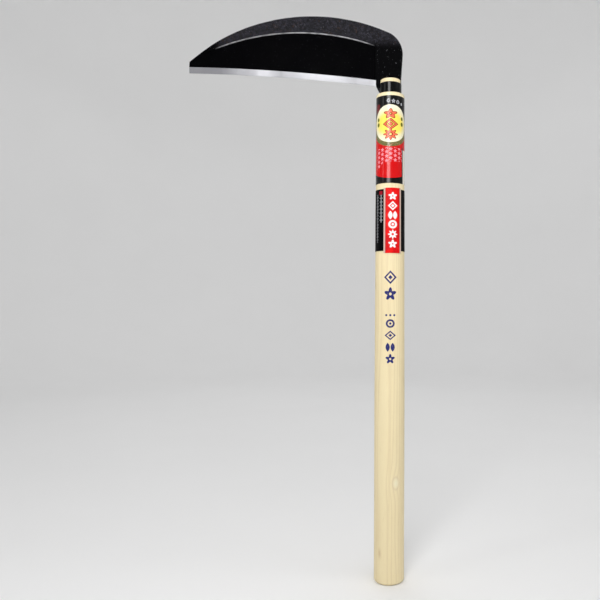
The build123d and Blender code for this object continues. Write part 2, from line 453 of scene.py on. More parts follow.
    def surface(self, **sockets: object) -> Wire:
        """Principled shader. An underscore in a name stands for a space."""
        named = {key.replace("_", " "): value for key, value in sockets.items()}
        return self.node("ShaderNodeBsdfPrincipled", None, named)

    def finish(self, shader: Wire) -> bpy.types.Material:
        """Joins the shader to the material's output and returns the material."""
        self.add("ShaderNodeOutputMaterial", None, {"Surface": shader})
        return self.material


# ------------------------------------------------------------------------------ printed shapes
class Shape(Enum):
    """Plain ornaments that stand where print stands on the real tool."""

    DISC = "disc"
    RING = "ring"
    LOZENGE = "lozenge"
    ROSETTE = "rosette"
    STAR = "star"
    LEAVES = "leaves"


@dataclass(frozen=True)
class Stamp:
    """One ornament on the unrolled handle, in millimetres."""

    shape: Shape
    around: float
    height: float
    wide: float
    high: float

    def distance(self, shade: Shade, around: Wire, height: Wire) -> Wire:
        """Signed distance to the ornament, worked out in shares of its half size.

        With u and v from -1 to 1 over the ornament and r their length: a disc is r - 1, a ring is
        |r - 0.75| - 0.2, a lozenge is an outline of |u| + |v| with a heart, a rosette and a star are
        r less a radius that swings with the angle, and leaves are two slim ovals side by side.

        Args:
            shade: the material.
            around: distance round the handle.
            height: height on the handle.

        Returns:
            The distance in millimetres, negative inside.
        """
        u = (around - self.around) / self.wide
        v = (height - self.height) / self.high
        flat = shade.node("ShaderNodeCombineXYZ", None, {0: u, 1: v})
        r = shade.node("ShaderNodeVectorMath", {"operation": "LENGTH"}, {0: flat}, "Value")
        if self.shape is Shape.DISC:
            found = r - 1.0
        elif self.shape is Shape.RING:
            found = (abs(r - 0.75) - 0.2) & (r - 0.25)
        elif self.shape is Shape.LOZENGE:
            found = (abs(abs(u) + abs(v) - 0.85) - 0.17) & (abs(u) + abs(v) - 0.35)
        elif self.shape is Shape.ROSETTE:
            swing = u.math("COSINE", u.math("ARCTAN2", u, v) * 5.0)
            found = (r - 0.72 - swing * 0.22) | (0.2 - r)
        elif self.shape is Shape.STAR:
            swing = u.math("COSINE", u.math("ARCTAN2", u, v) * 8.0)
            found = (r - 0.76 - swing * 0.20) | (0.28 - r)
        else:
            found = abs(abs(u) - 0.5) + v * v * 0.42 - 0.42
        return found * min(self.wide, self.high)


def stamped(
    shade: Shade, stamps: Sequence[Stamp], around: Wire, height: Wire, grow: float = 0.0
) -> Wire:
    """Mask of several ornaments.

    Args:
        shade: the material.
        stamps: the ornaments.
        around: distance round the handle.
        height: height on the handle.
        grow: millimetres by which each is grown outwards.

    Returns:
        The mask, 1 inside an ornament.
    """
    found = stamps[0].distance(shade, around, height)
    for stamp in stamps[1:]:
        found = found & stamp.distance(shade, around, height)
    return shade.inside(found - grow)


# ------------------------------------------------------------------------------ finishes
@dataclass(frozen=True)
class ForgedIron:
    """Black iron: rough scale where it was hammered, smooth and deep black on the web."""

    scale: Colour = (0.0034, 0.0034, 0.0048)
    speck: Colour = (0.020, 0.019, 0.027)
    black: Colour = (0.0010, 0.0010, 0.0013)
    web: Colour = (0.0006, 0.0006, 0.0008)
    # bare metal where rubbed, which along the step is also a painted highlight
    bare_and_glint: Colour = (0.92, 0.92, 0.96)
    rust: Colour = (0.034, 0.017, 0.010)
    chip: Colour = (0.12, 0.12, 0.14)
    soot_chip: Colour = (0.10, 0.10, 0.11)
    web_chip: Colour = (0.03, 0.03, 0.034)
    web_haze: Colour = (0.0008, 0.0008, 0.0012)

    def material(self) -> bpy.types.Material:
        """Builds the finish.

        Returns:
            The material.
        """
        shade = Shade("forged_iron")
        place = shade.place()
        blotch = shade.noise(place, 0.34, 4.0, 0.62)
        grit = shade.noise(place, 1.3, 3.0, 0.6)
        flake = shade.node("ShaderNodeTexVoronoi", {"feature": "F1"}, {"Vector": place, "Scale": 0.62})
        tint = shade.mix(shade.ease(blotch * 0.5 + grit * 0.5, 0.44, 0.62), self.scale, self.speck)
        rust = shade.ease(shade.noise(place, 0.35, 2.0), 0.60, 0.72, 0.0, 0.55)
        tint = shade.mix(rust, tint, self.rust)
        fleck = shade.ease(shade.noise(place, 0.8, 1.0), 0.70, 0.78)
        tint = shade.mix(fleck * 0.6, tint, self.chip)
        pits = shade.bump(blotch * 0.7 + flake * 0.3, 0.35)
        grain = shade.bump(grit, 0.10, pits)
        rough = shade.surface(
            Base_Color=tint,
            Metallic=0.25,
            Roughness=shade.ease(grit, 0.3, 0.7, 0.45, 0.70),
            Specular_IOR_Level=0.13,
            Normal=grain,
        )
        sooty = shade.surface(
            Base_Color=shade.mix(fleck, self.black, self.soot_chip),
            Roughness=shade.ease(grit, 0.3, 0.7, 0.50, 0.70),
            Specular_IOR_Level=0.02,
            Normal=grain,
        )
        haze = shade.noise(place, 0.045)
        web_tint = shade.mix(haze, self.web, self.web_haze)
        smooth_black = shade.surface(
            Base_Color=shade.mix(fleck * 0.5, web_tint, self.web_chip),
            Roughness=shade.ease(haze, 0.3, 0.7, 0.34, 0.46),
            Specular_IOR_Level=0.006,
            Normal=shade.bump(shade.noise(place, 0.42, 2.0), 0.03),
        )
        # Rubbed bare metal on the edges; along the step the same bright colour is also a painted highlight.
        worn = shade.surface(Base_Color=self.bare_and_glint, Metallic=0.3, Roughness=0.40, Normal=grain)
        body = shade.blend(shade.mark(FORGED), smooth_black, shade.blend(shade.mark(SOOT), rough, sooty))
        rubbed = shade.mark(WEAR_AND_GLINT) * shade.ease(shade.noise(place, 0.16), 0.30, 0.58, 0.45, 1.0)
        return shade.finish(shade.blend(rubbed, body, worn))


@dataclass(frozen=True)
class GroundSteel:
    """Hard steel: bright and finely scratched where it is ground, black scale elsewhere."""

    bright: Colour = (0.74, 0.74, 0.77)
    grey: Colour = (0.48, 0.48, 0.51)
    # The darker ground steel: painted shade where the painted highlight along the bevel is weak.
    shaded_steel: Colour = (0.27, 0.27, 0.29)
    scale: Colour = (0.010, 0.010, 0.012)
    scale_light: Colour = (0.035, 0.035, 0.040)
    tip: float = -209.6  # X of the tip
    reach: float = 194.6  # from the tip to the heel along X

    # Share of the way from tip to heel, and how bright the ground steel is painted there: painted highlight
    # where high, painted shade where low.
    painted_glint_stops = (
        (0.0, 0.16),
        (0.08, 0.09),
        (0.18, 0.0),
        (0.30, 0.5),
        (0.42, 1.0),
        (0.49, 0.40),
        (0.58, 0.75),
        (0.70, 1.0),
        (0.78, 1.0),
        (0.90, 0.50),
        (1.0, 1.0),
    )

    def material(self) -> bpy.types.Material:
        """Builds the finish.

        Returns:
            The material.
        """
        shade = Shade("ground_steel")
        place = shade.place()
        lines = shade.noise(shade.stretch(place, (9.0, 9.0, 0.35)), 1.0, 4.0, 0.65)
        patch = shade.noise(shade.stretch(place, (0.075, 0.075, 0.02)), 1.0, 2.0)
        share = (shade.split(place)[0] - self.tip) / self.reach + (patch - 0.5) * 0.06
        # Painted highlight and painted shade: the ground steel lighter or darker by its place along the
        # blade.
        painted_glint = shade.ramp(share, [(at, (value, value, value)) for at, value in self.painted_glint_stops])
        ground = shade.mix(lines * 0.55 + patch * 0.45, self.grey, self.bright)
        steel = shade.surface(
            Base_Color=shade.mix(painted_glint, self.shaded_steel, ground),
            Metallic=1.0,
            Roughness=shade.ease(lines * 0.6 + patch * 0.4, 0.3, 0.7, 0.32, 0.46),
            Normal=shade.bump(lines, 0.010, shade.bump(patch, 0.5)),
        )
        black = shade.surface(
            Base_Color=shade.mix(shade.noise(place, 0.4), self.scale, self.scale_light),
            Roughness=shade.ease(shade.noise(place, 0.7), 0.3, 0.7, 0.38, 0.55),
            Specular_IOR_Level=0.2,
            Normal=shade.bump(shade.noise(place, 0.9), 0.04),
        )
        edge = shade.ease(shade.mark(GROUND) + (shade.noise(place, 0.6) - 0.5) * 0.25, 0.4, 0.6)
        return shade.finish(shade.blend(edge, black, steel))


@dataclass(frozen=True)
class PaleWood:
    """Pale, close-grained wood, turned and left plain, with ornaments stamped in blue ink."""

    light: Colour = (0.880, 0.770, 0.500)
    dark: Colour = (0.760, 0.610, 0.350)
    line: Colour = (0.470, 0.300, 0.140)
    unrolled_radius: float = 15.6  # of the cylinder that the stamps are laid out on
    ink: Colour = (0.008, 0.013, 0.145)
    eye: Colour = (0.860, 0.800, 0.590)
    eye_height: float = 104.0  # a small pale eye in the grain, right of the middle of the front
    eye_around: float = 6.9
    spot_height: float = 32.0  # a brown spot near the butt, on the left
    spot_around: float = -10.4

    stamps = (
        Stamp(Shape.LOZENGE, 0.6, 313.5, 6.6, 6.8),
        Stamp(Shape.ROSETTE, 0.6, 296.5, 6.9, 7.3),
        Stamp(Shape.DISC, -3.6, 275.0, 1.1, 1.1),
        Stamp(Shape.DISC, 0.6, 275.0, 1.1, 1.1),
        Stamp(Shape.DISC, 4.8, 275.0, 1.1, 1.1),
        Stamp(Shape.RING, 0.6, 266.5, 4.9, 4.6),
        Stamp(Shape.LOZENGE, 0.6, 254.5, 5.8, 4.7),
        Stamp(Shape.LEAVES, 0.6, 242.5, 5.2, 4.6),
        Stamp(Shape.ROSETTE, 0.6, 230.5, 5.3, 5.5),
    )

    @staticmethod
    def spread(around: Wire, height: Wire, at: Tuple[float, float], half: Tuple[float, float]) -> Wire:
        """Square of the distance from a point of the unrolled handle, in shares of a half size.

        Args:
            around: distance round the handle.
            height: height on the handle.
            at: the point.
            half: half width and half height.

        Returns:
            The square, which is 1 on the oval of that half size.
        """
        u = (around - at[0]) / half[0]
        v = (height - at[1]) / half[1]
        return u * u + v * v

    def material(self) -> bpy.types.Material:
        """Builds the finish. The rings are slices of slightly leaning cones, bent by noise.

        Returns:
            The material.
        """
        shade = Shade("pale_wood")
        place = shade.place()
        x, y, z = shade.split(place)
        around, height = shade.unrolled(self.unrolled_radius)
        sway = shade.noise(shade.stretch(place, (0.03, 0.03, 0.0036)), 1.0, 2.0)
        near = self.spread(around, height, (self.eye_around, self.eye_height), (3.2, 5.5))
        spot = self.spread(around, height, (self.spot_around, self.spot_height), (1.8, 4.5))
        pull = x.math("EXPONENT", near * -0.16) * 2.6
        rings = x * 0.42 + y * 0.95 + sway * 15.0 + z * 0.012 + pull
        ring = (rings * 0.34) % 1.0
        late = shade.ease(ring, 0.45, 0.95) * shade.ease(ring, 0.95, 1.0, 1.0, 0.0)
        fibre = shade.noise(shade.stretch(place, (2.6, 2.6, 0.034)), 1.0, 3.0, 0.6)
        pores = shade.ease(shade.noise(shade.stretch(place, (3.6, 3.6, 0.12)), 1.0, 1.0), 0.64, 0.76)
        cloud = shade.noise(shade.stretch(place, (0.04, 0.04, 0.007)), 1.0)
        streak = shade.ease(shade.noise(shade.stretch(place, (0.21, 0.21, 0.0024)), 1.0, 2.0), 0.58, 0.74)
        tint = shade.mix(fibre * 0.40 + cloud * 0.30, self.light, self.dark)
        tint = shade.mix(late * 0.17 | streak * 0.14, tint, self.line)
        tint = shade.mix(pores * 0.22, tint, self.line)
        outline = x.math("EXPONENT", (near - 1.3) * (near - 1.3) * -3.0)
        tint = shade.mix(outline * 0.22, tint, self.line)
        tint = shade.mix(x.math("EXPONENT", near * -1.2) * 0.8, tint, self.eye)
        tint = shade.mix(x.math("EXPONENT", spot * -1.0) * 0.40, tint, self.line)
        worn = shade.ease(shade.noise(shade.stretch(place, (0.9, 0.9, 0.3)), 1.0), 0.26, 0.44, 0.75, 1.0)
        tint = shade.mix(stamped(shade, self.stamps, around, height) * worn, tint, self.ink)
        return shade.finish(
            shade.surface(
                Base_Color=tint,
                Roughness=shade.ease(fibre, 0.3, 0.7, 0.46, 0.62),
                Specular_IOR_Level=0.3,
                Normal=shade.bump(fibre * 0.6 - late * 0.25 - pores * 0.4, 0.05),
            )
        )


@dataclass(frozen=True)
class BlackGloss:
    """Stoved black enamel on the ferrule, worn grey on its rims."""

    black: Colour = (0.0008, 0.0008, 0.0010)
    haze: Colour = (0.002, 0.002, 0.0024)
    rubbed: Colour = (0.25, 0.25, 0.26)

    def material(self) -> bpy.types.Material:
        """Builds the finish.

        Returns:
            The material.
        """
        shade = Shade("black_ferrule")
        place = shade.place()
        mottle = shade.noise(place, 0.3)
        tint = shade.mix(mottle, self.black, self.haze)
        rim = shade.mark(WEAR_AND_GLINT) * shade.ease(shade.noise(place, 0.5), 0.42, 0.62)
        return shade.finish(
            shade.surface(
                Base_Color=shade.mix(rim * 0.5, tint, self.rubbed),
                Roughness=shade.ease(mottle, 0.3, 0.7, 0.10, 0.18),
                Specular_IOR_Level=0.20,
                Normal=shade.bump(shade.noise(place, 0.7, 2.0), 0.03),
            )
        )


@dataclass(frozen=True)
class DrawnWire:
    """Dull drawn iron of the nail."""

    grey: Colour = (0.22, 0.21, 0.20)
    light: Colour = (0.36, 0.34, 0.32)

    def material(self) -> bpy.types.Material:
        """Builds the finish.

        Returns:
            The material.
        """
        shade = Shade("nail_iron")
        drawn = shade.noise(shade.stretch(shade.place(), (2.5, 0.06, 2.5)), 1.0)
        return shade.finish(
            shade.surface(
                Base_Color=shade.mix(drawn, self.grey, self.light),
                Metallic=0.9,
                Roughness=shade.ease(drawn, 0.3, 0.7, 0.40, 0.62),
                Normal=shade.bump(drawn, 0.02),
            )
        )


@dataclass(frozen=True)
class PrintedFilm:
    """Glossy film: a round yellow badge over a red field, on black."""

    radius: float = 14.7
    badge_around: float = 0.3
    badge_height: float = 470.0
    badge_radius: float = 19.2
    badge_border: float = 2.2
    band: float = 4.2  # olive band under the badge
    black: Colour = (0.0008, 0.0008, 0.0012)
    cream: Colour = (0.88, 0.84, 0.62)
    yellow: Colour = (0.93, 0.74, 0.07)
    olive: Colour = (0.20, 0.16, 0.06)
    red: Colour = (0.60, 0.001, 0.002)
    pink: Colour = (0.85, 0.30, 0.36)
    grey: Colour = (0.42, 0.43, 0.46)
    clear: Colour = (0.84, 0.73, 0.47)  # wood seen through the film
    haze: Colour = (0.002, 0.002, 0.0025)
    maroon: Colour = (0.16, 0.012, 0.014)
    green: Colour = (0.13, 0.14, 0.01)
    outline: Colour = (0.22, 0.010, 0.006)
    vermilion: Colour = (0.84, 0.16, 0.08)
    margin: Colour = (0.78, 0.74, 0.66)
    olive_green: Colour = (0.10, 0.12, 0.03)
    olive_rose: Colour = (0.42, 0.22, 0.12)
    print_top: float = 498.6
    field_foot: float = 414.4  # lower line of the red field, at the front
    field_curve: float = 0.0135  # how fast that line climbs, by the square of the way round
    field_reach: float = 20.0  # way round where it stops climbing
    margin_around: float = 20.0  # middle of the pale margin on the right
    margin_half: float = 4.9
    margin_top: float = 444.0
    line_around: float = 14.4  # middle of the black line beside that margin
    line_half: float = 0.9
    line_top: float = 446.0
    blossom_reach: float = 16.0

    motifs = (
        Stamp(Shape.ROSETTE, 0.3, 479.8, 7.0, 5.2),
        Stamp(Shape.LOZENGE, 0.3, 469.4, 7.4, 5.6),
        Stamp(Shape.STAR, 0.3, 458.9, 7.4, 5.7),
    )
    sprigs = (
        Stamp(Shape.DISC, -13.9, 474.6, 1.6, 1.9),
        Stamp(Shape.DISC, -13.9, 469.4, 1.8, 2.1),
        Stamp(Shape.DISC, 13.4, 475.6, 1.6, 1.9),
        Stamp(Shape.DISC, 13.4, 470.0, 1.8, 2.1),
    )
    crown = (
        Stamp(Shape.STAR, -2.1, 493.2, 2.0, 2.4),
        Stamp(Shape.ROSETTE, 3.2, 492.8, 2.2, 2.4),
        Stamp(Shape.RING, 8.0, 492.0, 1.9, 2.0),
        Stamp(Shape.DISC, 12.6, 490.6, 0.9, 1.5),
    )

    def blossoms(self, shade: Shade, around: Wire, height: Wire) -> Wire:
        """Staggered columns of small five-petalled blossoms, inside a slanting band.

        Args:
            shade: the material.
            around: distance round the handle.
            height: height on the handle.

        Returns:
            The mask, 1 inside a petal.
        """
        column = around / 4.5 + 0.35
        step = column.math("FLOOR", column)
        u = (column % 1.0) - 0.5
        v = ((height / 4.6 + step * 0.43) % 1.0) - 0.5
        swing = u.math("COSINE", u.math("ARCTAN2", u, v) * 5.0)
        r = u.math("SQRT", u * u + v * v)
        petals = shade.inside(r - 0.30 - swing * 0.13, 0.06)
        top = 446.0 - abs(around) * 0.10
        low = 430.5 + abs(around + 11.0) * 0.05 - shade.ease(around, -14.0, -6.0, 6.0, 0.0)
        band = shade.inside(height - top) & shade.inside(low - height)
        return petals & band & shade.inside(abs(around) - self.blossom_reach)

    def material(self) -> bpy.types.Material:
        """Builds the finish. The print is laid on from the back of the pile to its front.

        Returns:
            The material.
        """
        shade = Shade("gloss_film")
        place = shade.place()
        around, height = shade.unrolled(self.radius)
        haze = shade.noise(place, 0.5, 2.0)
        u, v = around - self.badge_around, height - self.badge_height
        reach = u.math("SQRT", u * u + v * v)
        foot = self.field_foot + (around * around & self.field_reach**2) * self.field_curve
        field = shade.inside(foot - height) & shade.inside(height - self.badge_height + 3.0)
        tint = shade.mix(haze * 0.5, self.black, self.haze)
        patch = shade.inside(abs(around + 15.5) - 3.5, 0.8) & shade.inside(abs(height - 486.0) - 4.5, 0.8)
        tint = shade.mix(patch * 0.8, tint, self.maroon)
        tint = shade.mix(stamped(shade, self.crown, around, height), tint, self.grey)
        tint = shade.mix(field, tint, self.red)
        tint = shade.mix(self.blossoms(shade, around, height), tint, self.pink)
        stops = ((0.35, self.olive), (0.52, self.olive_green), (0.68, self.olive_rose))
        mottle = shade.ramp(shade.noise(place, 0.45), stops)
        under = shade.inside(reach - self.badge_radius - self.band, 0.4) & shade.inside(v + 4.0, 2.0)
        tint = shade.mix(under, tint, mottle)
        tint = shade.mix(shade.inside(reach - self.badge_radius), tint, self.cream)
        stretched = u.math("SQRT", u * u * 0.72 + v * v * 1.2)
        rim = self.badge_radius - self.badge_border * 0.6
        glow = shade.ease(stretched, self.badge_radius * 0.50, rim, 1.0, 0.0)
        tint = shade.mix(glow * 0.92, tint, self.yellow)
        tint = shade.mix(stamped(shade, self.sprigs, around, height), tint, self.green)
        tint = shade.mix(stamped(shade, self.motifs, around, height, 0.55), tint, self.outline)
        tint = shade.mix(stamped(shade, self.motifs, around, height, -0.25), tint, self.vermilion)
        line = shade.inside(abs(around - self.line_around) - self.line_half)
        tint = shade.mix(line & shade.inside(height - self.line_top), tint, self.black)
        margin = shade.inside(abs(around - self.margin_around) - self.margin_half)
        tint = shade.mix(margin & shade.inside(height - self.margin_top), tint, self.margin)
        tint = shade.mix(shade.inside(self.print_top - height), tint, self.clear)
        return shade.finish(
            shade.surface(
                Base_Color=tint,
                Roughness=shade.ease(haze, 0.3, 0.7, 0.16, 0.24),
                Specular_IOR_Level=0.28,
                Normal=shade.bump(shade.noise(shade.stretch(place, (0.35, 0.35, 0.12)), 1.0, 1.0), 0.04),
            )
        )


@dataclass(frozen=True)
class BlackPaper:
    """Black printed paper with two columns of small pale ornaments."""

    radius: float = 15.0
    black: Colour = (0.0006, 0.0006, 0.0010)
    grey: Colour = (0.34, 0.35, 0.37)
    red: Colour = (0.30, 0.010, 0.020)
    fibre: Colour = (0.002, 0.002, 0.0024)

    @staticmethod
    def column(
        shade: Shade, around: Wire, height: Wire, middle: float, half: float, pitch: float
    ) -> Wire:
        """A column of small lozenges with a dot between each pair.

        Args:
            shade: the material.
            around: distance round the handle.
            height: height on the handle.
            middle: where the column stands.
            half: its half width.
            pitch: height from one lozenge to the next.

        Returns:
            The mask, 1 inside an ornament.
        """
        u = abs(around - middle) / half
        v = abs(((height / pitch) % 1.0) - 0.5) * 2.0
        lozenge = abs(u * 0.9 + v * 1.1 - 0.55) - 0.22
        dot = u * u + (1.0 - v) * (1.0 - v) * 1.4 - 0.10
        return shade.inside(lozenge & dot, 0.10)

    def material(self) -> bpy.types.Material:
        """Builds the finish.

        Returns:
            The material.
        """
        shade = Shade("black_paper")
        place = shade.place()
        around, height = shade.unrolled(self.radius)
        fibre = shade.noise(place, 1.6, 3.0)
        patch = shade.noise(place, 0.12)
        first = self.column(shade, around, height, -9.7, 2.3, 3.7)
        first = first & shade.inside(abs(height - 383.5) - 14.0)
        second = self.column(shade, around, height, -14.9, 2.0, 3.1)
        second = second & shade.inside(abs(height - 373.5) - 24.5)
        tint = shade.mix(fibre * 0.6, self.black, self.fibre)
        faint = second * shade.ease(patch, 0.35, 0.55, 0.3, 0.8)
        tint = shade.mix(first | faint, tint, self.grey)
        block = shade.inside(abs(around + 10.2) - 2.0) & shade.inside(abs(height - 399.6) - 1.8)
        tint = shade.mix(block, tint, self.red)
        return shade.finish(
            shade.surface(
                Base_Color=tint,
                Roughness=shade.ease(fibre * 0.6 + patch * 0.4, 0.3, 0.7, 0.42, 0.58),
                Specular_IOR_Level=0.05,
                Normal=shade.bump(fibre, 0.025),
            )
        )


@dataclass(frozen=True)
class RedPaper:
    """Red paper strip between two pale borders, with a column of white ornaments."""

    radius: float = 15.3
    left: float = -4.9
    right: float = 10.6
    red: Colour = (0.58, 0.004, 0.007)
    bright: Colour = (0.80, 0.006, 0.005)
    border: Colour = (0.50, 0.34, 0.30)
    white: Colour = (0.88, 0.86, 0.86)
    fibre: Colour = (0.40, 0.02, 0.02)
    pink: Colour = (0.82, 0.28, 0.28)
    rule: Colour = (0.16, 0.012, 0.012)
    border_light: Colour = (0.66, 0.50, 0.42)

    stamps = (
        Stamp(Shape.ROSETTE, 2.8, 396.0, 4.7, 4.2),
        Stamp(Shape.LOZENGE, 2.8, 386.2, 4.7, 4.5),
        Stamp(Shape.LEAVES, 2.8, 376.6, 4.9, 4.1),
        Stamp(Shape.RING, 2.8, 367.3, 4.6, 4.3),
        Stamp(Shape.STAR, 2.8, 357.2, 4.9, 4.8),
        Stamp(Shape.ROSETTE, 2.8, 347.4, 4.7, 4.5),
    )

    def material(self) -> bpy.types.Material:
        """Builds the finish.

        Returns:
            The material.
        """
        shade = Shade("red_paper")
        place = shade.place()
        around, height = shade.unrolled(self.radius)
        fibre = shade.noise(place, 1.4, 3.0)
        cloud = shade.noise(place, 0.16)
        tint = shade.mix(shade.ease(cloud, 0.4, 0.6), self.red, self.bright)
        tint = shade.mix(fibre * 0.15, tint, self.fibre)
        tint = shade.mix(stamped(shade, self.stamps, around, height, 0.35), tint, self.pink)
        tint = shade.mix(stamped(shade, self.stamps, around, height), tint, self.white)
        field = shade.inside(self.left - around) & shade.inside(around - self.right)
        left_rule = shade.inside(abs(around - self.left - 0.5) - 0.25)
        right_rule = shade.inside(abs(around - self.right + 0.5) - 0.25)
        tint = shade.mix((left_rule | right_rule) * 0.6, tint, self.rule)
        tint = shade.mix(field, shade.mix(fibre, self.border, self.border_light), tint)
        return shade.finish(
            shade.surface(
                Base_Color=tint,
                Roughness=shade.ease(fibre, 0.3, 0.7, 0.40, 0.54),
                Specular_IOR_Level=0.10,
                Normal=shade.bump(fibre, 0.02),
            )
        )


@dataclass(frozen=True)
class StudioPaint:
    """Pale matt paint of the studio floor and its curved walls."""

    tone: Colour = (0.88, 0.88, 0.88)
    cloud: Colour = (0.85, 0.85, 0.85)

    def material(self) -> bpy.types.Material:
        """Builds the finish.

        Returns:
            The material.
        """
        shade = Shade("studio_paint")
        cloud = shade.noise(shade.place(), 0.004, 2.0)
        tint = shade.mix(cloud, self.tone, self.cloud)
        return shade.finish(shade.surface(Base_Color=tint, Roughness=0.9, Specular_IOR_Level=0.1))


# ------------------------------------------------------------------------------ blade
@dataclass(frozen=True)
class Arc:
    """A circle in the plane of the blade, used for its upper half."""

    x: float
    z: float
    radius: float

    @staticmethod
    def through(start: Tuple[float, float], end: Tuple[float, float], radius: float) -> "Arc":
        """Circle that bows up between two points. Its centre lies under the middle of the line.

        Args:
            start: left point.
            end: right point.
            radius: of the circle.

        Returns:
            The circle.
        """
        line = (end[0] - start[0], end[1] - start[1])
        length = math.hypot(*line)
        drop = math.sqrt(radius**2 - length**2 / 4) / length
        x = (start[0] + end[0]) / 2 + line[1] * drop
        z = (start[1] + end[1]) / 2 - line[0] * drop
        return Arc(x, z, radius)

    def height(self, x: np.ndarray, grow: float = 0.0) -> np.ndarray:
        """Height over x: the centre's plus the square root of radius squared less reach squared."""
        return self.z + np.sqrt((self.radius + grow) ** 2 - (x - self.x) ** 2)


